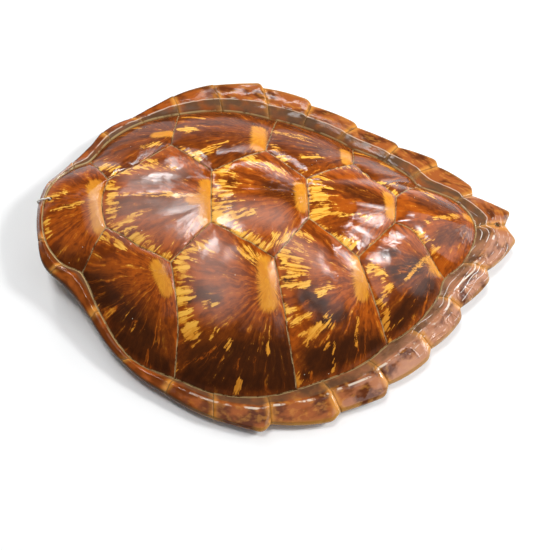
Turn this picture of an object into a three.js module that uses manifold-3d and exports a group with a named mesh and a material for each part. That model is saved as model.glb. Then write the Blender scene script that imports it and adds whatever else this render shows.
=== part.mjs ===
// The carapace of a sea turtle: one bony dome, thirty-eight horny scutes laid on it edge to
// edge, and a snug loop of white string through the hole drilled at its front.
// Millimetres. +X runs from head to tail, -Y is the animal's left side, +Z is up. The origin
// is on the surface the shell rests on, under the middle of its outline.
import * as THREE from 'three';
import { mergeVertices } from 'three/addons/utils/BufferGeometryUtils.js';
import Module from 'manifold-3d';

const wasm = await Module();
wasm.setup();

// ---- Driving dimensions ----
const ridgeHeight = 80;         // top of the dome, before the scutes' own relief
const domeCentre = -40;         // X of the highest point
const keelY = -3;               // the backbone runs a little to the left of the middle
const gutterHeights = { side: 8, front: 42, tail: 26 };   // where costals meet marginals
const edgeHeights = { side: 12, front: 38, tail: 21 };    // top of the outer edge
const crestHeights = { side: 7, front: 1.5, tail: 4 };    // flare between gutter and edge
const crestSlope = 0.28;        // the flare's most, as a share of a marginal's width
const crestPlace = 0.42;        // where it is highest, from gutter (0) to edge (1)
const scuteThickness = 1.8;
const scuteRelief = 2.2;        // how far the middle of a scute swells over its seams
const keelRelief = 2.0;
const keelHalfWidth = 16;
const seamGap = 0.4;            // between two scutes, and between scute and bone
const shellDepth = { crown: 6.5, rim: 10 };   // outer skin to underside, straight down
const spineDepth = 8;           // the backbone stands down from the underside
const spineHalfWidth = 14;
const edgeDepth = 5;            // thickness of the outer edge
const edgeTuck = 0.8;
const lipEnd = 0.45;            // marginals fold under the edge back to here
const boneNose = 4;             // bone stops this far inside the edge
const noseShare = 0.3;          // or this share of a narrow marginal
const stringHole = { x: -229.5, y: 8, radius: 2.1 };
const tailHole = { x: 221, y: 7, radius: 2.2 };
const stringRadius = 0.8;

const horn = new THREE.MeshStandardMaterial({ color: 0x7a3d14, roughness: 0.25, metalness: 0 });
const rimHorn = new THREE.MeshStandardMaterial({ color: 0xa4662b, roughness: 0.25, metalness: 0 });
const bone = new THREE.MeshStandardMaterial({ color: 0xd9c7a0, roughness: 0.7, metalness: 0 });
const string = new THREE.MeshStandardMaterial({ color: 0xe6e0d2, roughness: 0.8, metalness: 0 });

// ---- Where the seams meet, seen from above: [x, y], front to rear ----
// Gutter nodes: m1 lies between marginals 1 and 2 and so on, v1c1 between vertebral 1 and
// costal 1. The seam between costals 1 and 2 meets the gutter at m4.
const gutterNodes = {
  left: {
    m0: [-229, -35], m1: [-212, -57], v1c1: [-195, -65], m2: [-178, -98], m3: [-147, -140],
    m4: [-110, -156], m5: [-76, -169], m6: [-28, -172], c2c3: [-1, -166], m7: [23, -158],
    m8: [68, -139], c3c4: [88, -124], m9: [112, -109], m10: [143, -76], c4v5: [152, -58],
    m11: [174, -40],
  },
  right: {
    m0: [-230, 28], m1: [-213, 50], v1c1: [-199, 61], m2: [-182, 96], m3: [-151, 131],
    m4: [-114, 150], m5: [-66, 161], m6: [-13, 153], c2c3: [-4, 151], m7: [25, 142],
    m8: [64, 122], c3c4: [79, 110], m9: [111, 90], m10: [136, 66], c4v5: [144, 54],
    m11: [180, 35],
  },
};
const gutterFront = [-235, 3];
const gutterTail = [195, 3];
// Corners between vertebrals and costals: v12 ends the seam between vertebrals 1 and 2,
// v2 is the side corner of vertebral 2, and so on.
const corners = {
  left: {
    v12: [-174, -30], v2: [-115, -66], v23: [-80, -32], v3: [-24, -64], v34: [9, -25],
    v4: [56, -56], v45: [96, -17],
  },
  right: {
    v12: [-176, 22], v2: [-119, 67], v23: [-80, 24], v3: [-27, 56], v34: [10, 20],
    v4: [65, 58], v45: [102, 14],
  },
};
// Most seams run straight. These swell to one side, by most at a share of their length from
// the gutter (from the left corner on the seam between vertebrals 1 and 2).
const bows = {
  left: { m4: { shift: [4, 0], place: 0.5 }, c4v5: { shift: [4.7, 6.5], place: 0.7 } },
  right: {},
  v12: { shift: [-4, 0], place: 0.5 },
};
const seamShares = {
  gutter: [0, 0.15, 0.4, 0.7, 1],     // finer where the dome meets the gutter
  corner: [0, 0.5, 1],
  front: [0, 0.25, 0.5, 0.75, 1],
};
// Outer edge of each marginal, 1 to 12: start, middle and rear point. The rear ones
// overhang the start of the next like the teeth of a saw.
const outerEdges = {
  left: [
    [[-237, -33], [-233, -50], [-226, -62]],
    [[-223, -65], [-204, -82], [-189, -101]],
    [[-185, -106], [-172, -125], [-161, -138]],
    [[-157, -142], [-140, -157], [-123, -168]],
    [[-118, -171], [-98, -183], [-81, -191]],
    [[-76, -193], [-53, -200], [-33, -205]],
    [[-26, -198], [3, -199], [30, -196]],
    [[37, -188], [57, -182], [80, -174]],
    [[84, -163], [106, -153], [126, -139]],
    [[129, -129], [148, -116], [165, -98]],
    [[165, -87], [186, -72], [202, -56]],
    [[201, -45], [221, -31], [241, -9]],
  ],
  right: [
    [[-236, 33], [-227, 45], [-219, 56]],
    [[-216, 60], [-204, 81], [-195, 102]],
    [[-192, 107], [-180, 123], [-168, 132]],
    [[-165, 135], [-145, 155], [-126, 172]],
    [[-122, 175], [-101, 189], [-81, 197]],
    [[-77, 198], [-47, 203], [-22, 205]],
    [[-19, 198], [8, 193], [34, 183]],
    [[37, 174], [63, 164], [86, 150]],
    [[88, 143], [110, 132], [129, 120]],
    [[131, 114], [153, 106], [172, 96]],
    [[172, 87], [190, 75], [206, 59]],
    [[204, 47], [222, 39], [243, 27]],
  ],
};
const edgeFront = [-241.4, 3];
const edgeTail = [232, 9];
// Which gutter node falls inside a marginal, as the corner of a costal
const nodeInside = { 2: 'v1c1', 7: 'c2c3', 9: 'c3c4', 11: 'c4v5' };
const marginalCount = 12;
const toothPlace = 0.88;        // where the rear point of a marginal stands along it

// ---- Small helpers ----
const lerp = (a, b, t) => a + (b - a) * t;
const swell = (t, place) => Math.sin(Math.PI * t ** (Math.log(0.5) / Math.log(place)));
const between = (p, q, t) => [lerp(p[0], q[0], t), lerp(p[1], q[1], t)];
const distance = (p, q) => Math.hypot(q[0] - p[0], q[1] - p[1]);
const polar = ([x, y]) => Math.atan2(y, x - domeCentre);

function signedArea(points) {
  return THREE.ShapeUtils.area(points.map(([x, y]) => new THREE.Vector2(x, y)));
}

// ---- The dome ----
// The gutter is a closed curve round the dome's centre, given by its radius at each angle.
const gutterKnots = [gutterFront, gutterTail]
  .concat(Object.values(gutterNodes.left), Object.values(gutterNodes.right))
  .map((p) => ({ angle: polar(p), radius: distance([domeCentre, 0], p) }))
  .sort((a, b) => a.angle - b.angle);

function knot(index) {
  const turns = Math.floor(index / gutterKnots.length);
  const { angle, radius } = gutterKnots[index - turns * gutterKnots.length];
  return { angle: angle + turns * 2 * Math.PI, radius };
}

function slopeAt(index) {
  const before = knot(index - 1);
  const after = knot(index + 1);
  return (after.radius - before.radius) / (after.angle - before.angle);
}

function gutterRadius(angle) {
  let index = gutterKnots.length - 1;
  while (index >= 0 && knot(index).angle > angle) index -= 1;
  const start = knot(index);
  const end = knot(index + 1);
  const span = end.angle - start.angle;
  const t = (angle - start.angle) / span;
  const t2 = t * t;
  const t3 = t2 * t;
  return (2 * t3 - 3 * t2 + 1) * start.radius + (t3 - 2 * t2 + t) * span * slopeAt(index)
    + (3 * t2 - 2 * t3) * end.radius + (t3 - t2) * span * slopeAt(index + 1);
}

// A height that differs at the sides, the front and the tail of the rim
function roundTheRim({ side, front, tail }, angle) {
  const forward = Math.max(-Math.cos(angle), 0) ** 3;
  const rearward = Math.max(Math.cos(angle), 0) ** 4;
  return side + (front - side) * forward + (tail - side) * rearward;
}

function domeHeight(x, y) {
  const angle = polar([x, y]);
  const reach = Math.hypot(x - domeCentre, y) / gutterRadius(angle);
  const foot = roundTheRim(gutterHeights, angle);
  return ridgeHeight - (ridgeHeight - foot) * reach ** 2;
}

function undersideHeight(x, y) {
  const spine = spineDepth * Math.exp(-(((y - keelY) / spineHalfWidth) ** 2));
  const reach = Math.hypot(x - domeCentre, y) / gutterRadius(polar([x, y]));
  const depth = lerp(shellDepth.crown, shellDepth.rim, reach ** 4);
  return Math.max(0, domeHeight(x, y) - depth - spine * Math.max(0, 1 - reach ** 4));
}

// ---- The rim: columns run from the gutter out to the edge ----
function gutterBetween(a, b, t) {
  const angle = lerp(polar(a), polar(b), t);
  const radius = gutterRadius(angle);
  return [domeCentre + radius * Math.cos(angle), radius * Math.sin(angle)];
}

function marginalColumns(side, number) {
  const nodes = gutterNodes[side];
  const start = nodes[`m${number - 1}`];
  const end = number === marginalCount ? gutterTail : nodes[`m${number}`];
  const [outerStart, outerMiddle, tooth] = outerEdges[side][number - 1];
  const outerEnd = number === marginalCount ? edgeTail : outerEdges[side][number][0];
  const middle = nodes[nodeInside[number]] ?? gutterBetween(start, end, 0.5);
  return [
    { name: `m${number - 1}`, inner: start, outer: outerStart },
    { name: nodeInside[number], inner: middle, outer: outerMiddle },
    { inner: gutterBetween(start, end, toothPlace), outer: tooth },
    { name: `m${number}`, inner: end, outer: outerEnd },
  ];
}

const nuchalColumns = [
  { inner: gutterNodes.right.m0, outer: outerEdges.right[0][0] },
  { inner: gutterFront, outer: edgeFront },
  { inner: gutterNodes.left.m0, outer: outerEdges.left[0][0] },
];

// One column's sections, as [x, y, z] rows: the scute that wraps the edge, and the bone in it
function section({ inner, outer }) {
  const width = distance(inner, outer);
  const angle = polar(inner);
  const gutter = roundTheRim(gutterHeights, angle);
  const edge = roundTheRim(edgeHeights, angle);
  const crest = Math.min(roundTheRim(crestHeights, angle), crestSlope * width);
  const top = (t) => lerp(gutter, edge, t) + crest * swell(t, crestPlace);
  const foot = Math.max(0, gutter - shellDepth.rim);
  const pastLip = (t) => Math.max(0, (t - lipEnd) / (1 - lipEnd));
  const bottom = (t) => lerp(foot, edge - edgeDepth, pastLip(t));
  const at = (t, z) => [...between(inner, outer, t), z];
  const nose = 1 - Math.min(boneNose, noseShare * width) / width;
  const start = seamGap / 2 / width;
  const tuck = 1 - edgeTuck / width;
  const gap = seamGap / width;
  const drop = scuteThickness + seamGap;
  const rows = [0.2, crestPlace, 0.68];
  return {
    scuteOutside: [at(start, top(start)), ...rows.map((t) => at(t, top(t))), at(1, top(1)),
      at(tuck, bottom(1)), at(lipEnd, bottom(lipEnd))],
    scuteInside: [at(start, top(start) - scuteThickness),
      ...rows.map((t) => at(t, top(t) - scuteThickness)), at(nose, top(nose) - scuteThickness),
      at(nose, bottom(nose) + scuteThickness), at(lipEnd, bottom(lipEnd) + scuteThickness)],
    bone: [at(0, top(0) - drop), ...rows.map((t) => at(t, top(t) - drop)),
      at(nose - gap, top(nose) - drop), at(nose - gap, bottom(nose) + drop),
      at(lipEnd - gap, bottom(lipEnd) + drop), at(lipEnd - gap, bottom(lipEnd)),
      at(0, bottom(0))],
  };
}

// ---- The dome's scutes: fans of triangles round their middle ----
function seam(from, to, shares, bow) {
  return shares.map((t) => {
    const [x, y] = between(from, to, t);
    const lift = bow ? swell(t, bow.place) : 0;
    return bow ? [x + bow.shift[0] * lift, y + bow.shift[1] * lift] : [x, y];
  });
}

// From a node on the gutter up to a corner of the vertebrals
function rising(side, node, corner) {
  const bow = bows[side][node];
  return seam(gutterNodes[side][node], corners[side][corner], seamShares.gutter, bow);
}

function level(side, from, to) {
  return seam(corners[side][from], corners[side][to], seamShares.corner);
}

const reversed = (points) => points.slice().reverse();

// Runs that end where the next begins, as one closed outline
const joined = (...runs) => runs.flatMap((run) => run.slice(0, -1));

function gutterRun(side, from, to) {
  const run = [];
  for (let number = 1; number <= marginalCount; number += 1) {
    run.push(...marginalColumns(side, number).slice(0, -1));
  }
  run.push({ name: `m${marginalCount}`, inner: gutterTail });
  const first = run.findIndex((column) => column.name === from);
  const last = run.findIndex((column) => column.name === to);
  return run.slice(first, last + 1).map((column) => column.inner);
}

function costalOutline(side, { front, rear, top, frontGutter, rearGutter }) {
  return joined(
    gutterRun(side, frontGutter, rearGutter),
    rising(side, rearGutter, rear),
    level(side, rear, top),
    front ? level(side, top, front) : [],
    reversed(rising(side, frontGutter, front ?? top)),
  );
}

const costalPlans = [
  { rear: 'v2', top: 'v12', frontGutter: 'v1c1', rearGutter: 'm4' },
  { rear: 'v3', top: 'v23', front: 'v2', frontGutter: 'm4', rearGutter: 'c2c3' },
  { rear: 'v4', top: 'v34', front: 'v3', frontGutter: 'c2c3', rearGutter: 'c3c4' },
  { rear: 'v45', top: 'v4', frontGutter: 'c3c4', rearGutter: 'c4v5' },
];

function vertebralOutline(number) {
  const { left, right } = corners;
  const frontSeam = seam(left.v12, right.v12, seamShares.front, bows.v12);
  if (number === 1) {
    return joined(
      [gutterFront, gutterNodes.left.m0],
      gutterRun('left', 'm0', 'v1c1'), rising('left', 'v1c1', 'v12'),
      frontSeam,
      reversed(rising('right', 'v1c1', 'v12')), reversed(gutterRun('right', 'm0', 'v1c1')),
      [gutterNodes.right.m0, gutterFront],
    );
  }
  if (number === 5) {
    return joined(
      reversed(rising('left', 'c4v5', 'v45')), gutterRun('left', 'c4v5', 'm12'),
      reversed(gutterRun('right', 'c4v5', 'm12')), rising('right', 'c4v5', 'v45'),
      seam(right.v45, left.v45, seamShares.corner),
    );
  }
  const front = `v${number - 1}${number}`;
  const rear = `v${number}${number + 1}`;
  const widest = `v${number}`;
  return joined(
    level('left', front, widest), level('left', widest, rear),
    seam(left[rear], right[rear], seamShares.corner),
    level('right', rear, widest), level('right', widest, front),
    number === 2 ? reversed(frontSeam) : seam(right[front], left[front], seamShares.corner),
  );
}

const rings = [0.5, 0.86, 1];

function middleOf(outline) {
  const sum = outline.reduce(([sx, sy], [x, y]) => [sx + x, sy + y], [0, 0]);
  return [sum[0] / outline.length, sum[1] / outline.length];
}

function inset(outline, amount) {
  return outline.map((p, i) => {
    const before = outline[(i + outline.length - 1) % outline.length];
    const after = outline[(i + 1) % outline.length];
    const a = new THREE.Vector2(before[1] - p[1], p[0] - before[0]).normalize();
    const b = new THREE.Vector2(p[1] - after[1], after[0] - p[0]).normalize();
    const n = a.add(b).normalize();
    const lean = n.dot(b.set(p[1] - after[1], after[0] - p[0]).normalize());
    return [p[0] + n.x * amount / lean, p[1] + n.y * amount / lean];
  });
}

function fan(outline, middle) {
  const count = outline.length;
  const points = [[...middle, 0]];
  rings.forEach((share) => {
    outline.forEach((p) => points.push([...between(middle, p, share), share]));
  });
  const triangles = [];
  for (let i = 0; i < count; i += 1) {
    const next = (i + 1) % count;
    triangles.push([0, 1 + i, 1 + next]);
    for (let ring = 0; ring < rings.length - 1; ring += 1) {
      const near = 1 + ring * count;
      const far = near + count;
      triangles.push([near + i, far + i, far + next], [near + i, far + next, near + next]);
    }
  }
  return { points, triangles, rim: outline.map((_, i) => 1 + (rings.length - 1) * count + i) };
}

// ---- Solids ----
function solidFrom(faces) {
  const geometry = new THREE.BufferGeometry();
  const positions = new Float32Array(faces.flat(2));
  geometry.setAttribute('position', new THREE.BufferAttribute(positions, 3));
  const volume = faces.reduce((sum, [a, b, c]) => sum
    + new THREE.Vector3(...a).dot(new THREE.Vector3(...b).cross(new THREE.Vector3(...c))), 0);
  const indices = positions.length / 3;
  const order = Array.from({ length: indices }, (_, i) => (volume > 0 || i % 3 === 0 ? i
    : i + (i % 3 === 1 ? 1 : -1)));
  geometry.setIndex(order);
  return mergeVertices(geometry, 1e-4);
}

const quad = (a, b, c, d) => [[a, b, c], [a, c, d]];

function wallAlong(loopA, loopB) {
  return loopA.flatMap((p, i) => {
    const next = (i + 1) % loopA.length;
    return quad(loopB[i], loopB[next], loopA[next], p);
  });
}

function scuteRise(x, y, share, keeled) {
  const keel = keeled ? keelRelief * Math.exp(-(((y - keelY) / keelHalfWidth) ** 2)) : 0;
  return (scuteRelief + keel) * (1 - share ** 4);
}

function domeScute(outline, middle, keeled) {
  const { points, triangles, rim } = fan(inset(outline, seamGap / 2), middle);
  const top = points.map(([x, y, s]) => [x, y, domeHeight(x, y) + scuteRise(x, y, s, keeled)]);
  const under = points.map(([x, y]) => [x, y, domeHeight(x, y) - scuteThickness]);
  return solidFrom([
    ...triangles.map(([a, b, c]) => [top[a], top[b], top[c]]),
    ...triangles.map(([a, b, c]) => [under[a], under[c], under[b]]),
    ...wallAlong(rim.map((i) => top[i]), rim.map((i) => under[i])),
  ]);
}

function shiftColumn(rows, towards, amount) {
  return rows.map((p, i) => {
    const step = amount / distance(p, towards[i]);
    return [...between(p, towards[i], step), lerp(p[2], towards[i][2], step)];
  });
}

function rimScute(columns) {
  const sections = columns.map((column) => {
    const { scuteOutside, scuteInside } = section(column);
    return [...scuteOutside, ...reversed(scuteInside)];
  });
  const last = sections.length - 1;
  const gap = seamGap / 2;
  const start = shiftColumn(sections[0], sections[1], gap);
  sections[last] = shiftColumn(sections[last], sections[last - 1], gap);
  sections[0] = start;
  const faces = [];
  for (let i = 0; i < last; i += 1) faces.push(...wallAlong(sections[i], sections[i + 1]));
  const cap = (ring, flip) => {
    for (let i = 0; i < ring.length / 2 - 1; i += 1) {
      const far = ring.length - 1 - i;
      const corner = [ring[i], ring[i + 1], ring[far - 1], ring[far]];
      faces.push(...quad(...(flip ? reversed(corner) : corner)));
    }
  };
  cap(sections[0], false);
  cap(sections[last], true);
  return solidFrom(faces);
}

function bonyDome(scutes, columns) {
  const drop = scuteThickness + seamGap;
  const faces = scutes.flatMap(({ outline, middle }) => {
    const { points, triangles } = fan(outline, middle);
    const top = points.map(([x, y]) => [x, y, domeHeight(x, y) - drop]);
    const under = points.map(([x, y]) => [x, y, undersideHeight(x, y)]);
    return [
      ...triangles.map(([a, b, c]) => [top[a], top[b], top[c]]),
      ...triangles.map(([a, b, c]) => [under[a], under[c], under[b]]),
    ];
  });
  const sections = columns.map((column) => section(column).bone);
  sections.forEach((rows, i) => {
    const next = sections[(i + 1) % sections.length];
    for (let row = 0; row < rows.length - 1; row += 1) {
      faces.push(...quad(rows[row], rows[row + 1], next[row + 1], next[row]));
    }
  });
  return solidFrom(faces);
}

// ---- Holes ----
function toManifold(geometry) {
  return new wasm.Manifold(new wasm.Mesh({
    numProp: 3,
    vertProperties: new Float32Array(geometry.attributes.position.array),
    triVerts: new Uint32Array(geometry.index.array),
  }));
}

function drilled(geometry, { x, y, radius }) {
  const drill = new THREE.CylinderGeometry(radius, radius, 200, 12);
  drill.rotateX(Math.PI / 2);
  drill.translate(x, y, 0);
  drill.deleteAttribute('normal');
  drill.deleteAttribute('uv');
  const cut = toManifold(geometry).subtract(toManifold(mergeVertices(drill))).getMesh();
  const result = new THREE.BufferGeometry();
  result.setAttribute('position', new THREE.BufferAttribute(cut.vertProperties, 3));
  result.setIndex(new THREE.BufferAttribute(cut.triVerts, 1));
  return result;
}

// ---- The string: a closed loop down through the hole and back round the front edge ----
const stringPath = [
  [-229.9, 8.2, 46.2], [-233.5, 8.6, 44.6], [-238.5, 9.0, 42.4], [-241.8, 9.3, 39.6],
  [-241.97, 9.3, 35.6], [-239.5, 9.0, 31.9], [-234.5, 8.6, 30.6], [-230.5, 8.2, 31.6],
  [-229.6, 8.0, 35.0], [-229.4, 8.0, 43.0],
];

function loopOfString(path, radius, steps, sides) {
  const curve = new THREE.CatmullRomCurve3(path.map((p) => new THREE.Vector3(...p)), true);
  const across = new THREE.Vector3(0, 1, 0);
  const circles = Array.from({ length: steps }, (_, i) => {
    const centre = curve.getPointAt(i / steps);
    const out = new THREE.Vector3().crossVectors(curve.getTangentAt(i / steps), across);
    out.normalize();
    return Array.from({ length: sides }, (__, k) => {
      const turn = 2 * Math.PI * k / sides;
      const p = centre.clone().addScaledVector(out, radius * Math.cos(turn));
      return p.addScaledVector(across, radius * Math.sin(turn)).toArray();
    });
  });
  return solidFrom(circles.flatMap((c, i) => wallAlong(c, circles[(i + 1) % steps])));
}

// ---- Assembly ----
const shell = new THREE.Group();

function add(name, geometry, material) {
  const mesh = new THREE.Mesh(geometry, material);
  mesh.name = name;
  shell.add(mesh);
}

const domeScutes = [];
for (let number = 1; number <= 5; number += 1) {
  domeScutes.push({ name: `vertebral_scute_${number}`, plan: vertebralOutline(number), keeled: true });
}
for (const side of ['left', 'right']) {
  costalPlans.forEach((plan, i) => {
    domeScutes.push({ name: `costal_scute_${side}_${i + 1}`, plan: costalOutline(side, plan) });
  });
}
for (const scute of domeScutes) {
  scute.outline = signedArea(scute.plan) > 0 ? scute.plan : reversed(scute.plan);
  scute.middle = middleOf(scute.outline);
  if (scute.keeled) scute.middle[1] = keelY;
}

const rimColumns = nuchalColumns.slice(0, -1);
for (let number = 1; number <= marginalCount; number += 1) {
  rimColumns.push(...marginalColumns('left', number).slice(0, -1));
}
for (let number = marginalCount; number >= 1; number -= 1) {
  rimColumns.push(...reversed(marginalColumns('right', number)).slice(0, -1));
}

const dome = bonyDome(domeScutes, rimColumns);
add('bony_carapace', drilled(drilled(dome, stringHole), tailHole), bone);
for (const { name, outline, middle, keeled } of domeScutes) {
  const plate = domeScute(outline, middle, keeled);
  add(name, name === 'vertebral_scute_1' ? drilled(plate, stringHole) : plate, horn);
}
add('nuchal_scute', rimScute(nuchalColumns), rimHorn);
for (const side of ['left', 'right']) {
  for (let number = 1; number <= marginalCount; number += 1) {
    const columns = marginalColumns(side, number);
    const plate = rimScute(side === 'left' ? columns : reversed(columns));
    const holed = number === marginalCount ? drilled(plate, tailHole) : plate;
    add(`marginal_scute_${side}_${number}`, holed, rimHorn);
  }
}
add('string_loop', loopOfString(stringPath, stringRadius, 30, 8), string);

export default shell;
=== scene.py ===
# The dried, lacquered upper shell of a sea turtle: a bony dome, thirty-eight horny scutes laid
# on it edge to edge, and a loop of white string through the hole drilled over the neck.
# +X runs from head to tail, -Y is the animal's left side, +Z is up. Plan points and sizes are
# written in millimetres, and every mesh is made in metres.
import math

import bpy
import bmesh
import numpy as np
from mathutils import Matrix, Vector, noise


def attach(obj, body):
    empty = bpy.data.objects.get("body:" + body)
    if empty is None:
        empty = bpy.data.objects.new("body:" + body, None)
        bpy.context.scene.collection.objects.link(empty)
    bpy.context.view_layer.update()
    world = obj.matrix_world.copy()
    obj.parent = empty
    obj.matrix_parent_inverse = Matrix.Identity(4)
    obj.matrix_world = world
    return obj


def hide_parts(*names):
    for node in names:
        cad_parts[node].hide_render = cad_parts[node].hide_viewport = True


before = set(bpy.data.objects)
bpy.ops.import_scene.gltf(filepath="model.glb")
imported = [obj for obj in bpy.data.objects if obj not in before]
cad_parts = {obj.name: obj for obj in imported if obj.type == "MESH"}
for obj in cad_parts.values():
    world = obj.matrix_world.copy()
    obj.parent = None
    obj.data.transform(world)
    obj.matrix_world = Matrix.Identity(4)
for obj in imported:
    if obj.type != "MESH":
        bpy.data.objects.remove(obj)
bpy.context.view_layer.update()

# ---- Camera, light and floor ----
# The shell lies on a plain white table. The camera looks down on it from the front left; large
# soft lights stand to the tail side and behind, so that the shadow falls towards the head.
view_azimuth = math.radians(-14.84)
view_elevation = math.radians(60.55)
view_roll = math.radians(13.99)
view_distance = 0.592
view_target = Vector((-0.0199, -0.066, 0.040))
view_lens = 41.7


def add_object(name, data):
    made = bpy.data.objects.new(name, data)
    bpy.context.scene.collection.objects.link(made)
    return made


# The camera's own axes: facing the shell, then level, then turned by its roll
facing = Vector((-math.sin(view_azimuth) * math.cos(view_elevation),
                 math.cos(view_azimuth) * math.cos(view_elevation), -math.sin(view_elevation)))
level = Vector((math.cos(view_azimuth), math.sin(view_azimuth), 0.0))
upright = level.cross(facing)
across = math.cos(view_roll) * level + math.sin(view_roll) * upright
up = -math.sin(view_roll) * level + math.cos(view_roll) * upright
camera_data = bpy.data.cameras.new("camera")
camera_data.lens = view_lens
camera_data.sensor_width = 36.0
camera_data.clip_start = 0.01
camera = add_object("camera", camera_data)
turn = Matrix((across, up, -facing)).transposed().to_4x4()
camera.matrix_world = Matrix.Translation(view_target - view_distance * facing) @ turn
bpy.context.scene.camera = camera
bpy.context.scene.view_settings.view_transform = "Standard"


def soft_light(name, azimuth, elevation, distance, size, power, colour=(1.0, 1.0, 1.0)):
    """A rectangular softbox that faces the shell from a compass angle and a height, in degrees."""
    data = bpy.data.lights.new(name, "AREA")
    data.shape = "RECTANGLE"
    data.size, data.size_y = size
    data.energy = power
    data.color = colour
    light = add_object(name, data)
    a, e = math.radians(azimuth), math.radians(elevation)
    place = distance * Vector((math.cos(a) * math.cos(e), math.sin(a) * math.cos(e), math.sin(e)))
    light.matrix_world = Matrix.Translation(place) @ place.to_track_quat("Z", "Y").to_matrix().to_4x4()


soft_light("key_lamp", 2, 48, 1.6, (0.29, 0.29), 12.5)
soft_light("tail_panel", 6, 34, 1.7, (1.10, 0.90), 7.0)
soft_light("high_lamp", 165, 76, 1.9, (0.32, 0.44), 12.5)
soft_light("crown_lamp", 132, 72, 1.9, (0.20, 0.16), 1.6)
soft_light("rear_softbox", 128, 44, 1.7, (0.50, 1.00), 5.5)
soft_light("keel_strip", 116, 42, 1.7, (0.05, 0.80), 3.0)
soft_light("rear_lamp", 112, 25, 1.7, (0.20, 0.12), 2.2)
soft_light("rear_strip", 84, 27, 1.7, (0.80, 0.06), 4.2)
soft_light("ceiling", -94, 70, 1.9, (1.2, 1.2), 2.8, (0.86, 0.93, 1.0))
soft_light("side_panel", -34, 50, 1.7, (0.60, 0.60), 2.9)
soft_light("front_fill", -175, 50, 1.9, (1.2, 1.2), 0.4)
soft_light("tail_strip", 12, 13, 1.6, (0.40, 0.10), 2.0)


def fill(socket, value):
    """Gives a socket its value, a constant or another node's output."""
    if isinstance(value, bpy.types.NodeSocket):
        socket.id_data.links.new(value, socket)
    else:
        socket.default_value = value


def fill_all(sockets, **values):
    """Fills sockets by their names, with _ for a space."""
    for name, value in values.items():
        fill(sockets[name.replace("_", " ")], value)


def new_node(tree, kind, settings=None, **values):
    made = tree.nodes.new(kind)
    for key, value in (settings or {}).items():
        setattr(made, key, value)
    fill_all(made.inputs, **values)
    return made


def axes(vector):
    return new_node(vector.id_data, "ShaderNodeSeparateXYZ", Vector=vector).outputs


def new_material(name):
    made = bpy.data.materials.new(name)
    made.use_nodes = True
    return made, made.node_tree, made.node_tree.nodes["Principled BSDF"].inputs


# The studio is dim, but for its pale walls near the floor
world = bpy.data.worlds.new("studio")
bpy.context.scene.world = world
world.use_nodes = True
studio = world.node_tree
height = axes(new_node(studio, "ShaderNodeTexCoord").outputs["Generated"])["Z"]
wall = new_node(studio, "ShaderNodeMapRange", {"interpolation_type": "SMOOTHSTEP"}, Value=height,
                From_Min=-0.12, From_Max=0.28, To_Min=0.70, To_Max=0.04).outputs["Result"]
fill_all(studio.nodes["Background"].inputs, Color=(1.0, 1.0, 1.0, 1), Strength=wall)

floor_reach, floor_white = 1.7, (0.90, 0.90, 0.90, 1)
floor_mesh = bpy.data.meshes.new("floor")
floor_corners = [(x * floor_reach, y * floor_reach, 0) for x, y in ((-1, -1), (1, -1), (1, 1), (-1, 1))]
floor_mesh.from_pydata(floor_corners, [], [(0, 1, 2, 3)])
floor_paint, _, surface = new_material("white_table")
fill_all(surface, Base_Color=floor_white, Roughness=0.9)
floor_mesh.materials.append(floor_paint)
floor = add_object("floor", floor_mesh)

# ---- The bony carapace ----
# One dome of bone, grown together from backbone, ribs and plates, and pale and dry on its
# underside, where the backbone and eight pairs of ribs stand out. It carries every scute. Its
# outline follows the gutter, the groove where the dome meets the flared rim.
mm = 0.001
dome_centre = -40.0
ridge_height = 80.0
keel_y = -3.0
gutter_heights = {"side": 8.0, "front": 42.0, "tail": 26.0}
edge_heights = {"side": 12.0, "front": 38.0, "tail": 21.0}
crest_heights = {"side": 7.0, "front": 1.5, "tail": 4.0}
crest_slope = 0.28
crest_place = 0.42
far_crest_place = 0.31
crest_fold, crest_fillet = 0.55, 0.10
crest_lip, crest_lip_width = {"left": 0.9, "right": 0.45}, 2.2
scute_thickness = 1.8
seam_gap = 0.2
shell_depth = {"crown": 6.5, "rim": 10.0}
spine_depth, spine_half_width = 8.0, 14.0
edge_depth = 5.0
lip_end = 0.45
bone_nose, nose_share = 4.0, 0.3
string_hole = {"x": -229.5, "y": 8.0, "radius": 2.1}
tail_hole = {"x": 221.0, "y": 7.0, "radius": 2.2}

# Where the seams meet, seen from above, front to rear. m1 lies between marginals 1 and 2 and so
# on, v1c1 between vertebral 1 and costal 1. The seam between costals 1 and 2 meets the gutter
# at m4.
gutter_nodes = {
    "left": {
        "m0": (-229, -35), "m1": (-212, -57), "v1c1": (-195, -65), "m2": (-178, -98),
        "m3": (-147, -140), "m4": (-110, -156), "m5": (-76, -169), "m6": (-28, -172),
        "c2c3": (-1, -166), "m7": (23, -158), "m8": (68, -139), "c3c4": (88, -124),
        "m9": (112, -109), "m10": (143, -76), "c4v5": (152, -58), "m11": (174, -40)},
    "right": {
        "m0": (-230, 28), "m1": (-213, 50), "v1c1": (-199, 61), "m2": (-182, 96),
        "m3": (-151, 131), "m4": (-114, 150), "m5": (-66, 161), "m6": (-13, 153),
        "c2c3": (-4, 151), "m7": (25, 142), "m8": (64, 122), "c3c4": (79, 110),
        "m9": (111, 90), "m10": (136, 66), "c4v5": (144, 54), "m11": (180, 35)},
}
gutter_front = (-235, 3)
gutter_tail = (195, 3)
for side in gutter_nodes:
    gutter_nodes[side]["m12"] = gutter_tail

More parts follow.
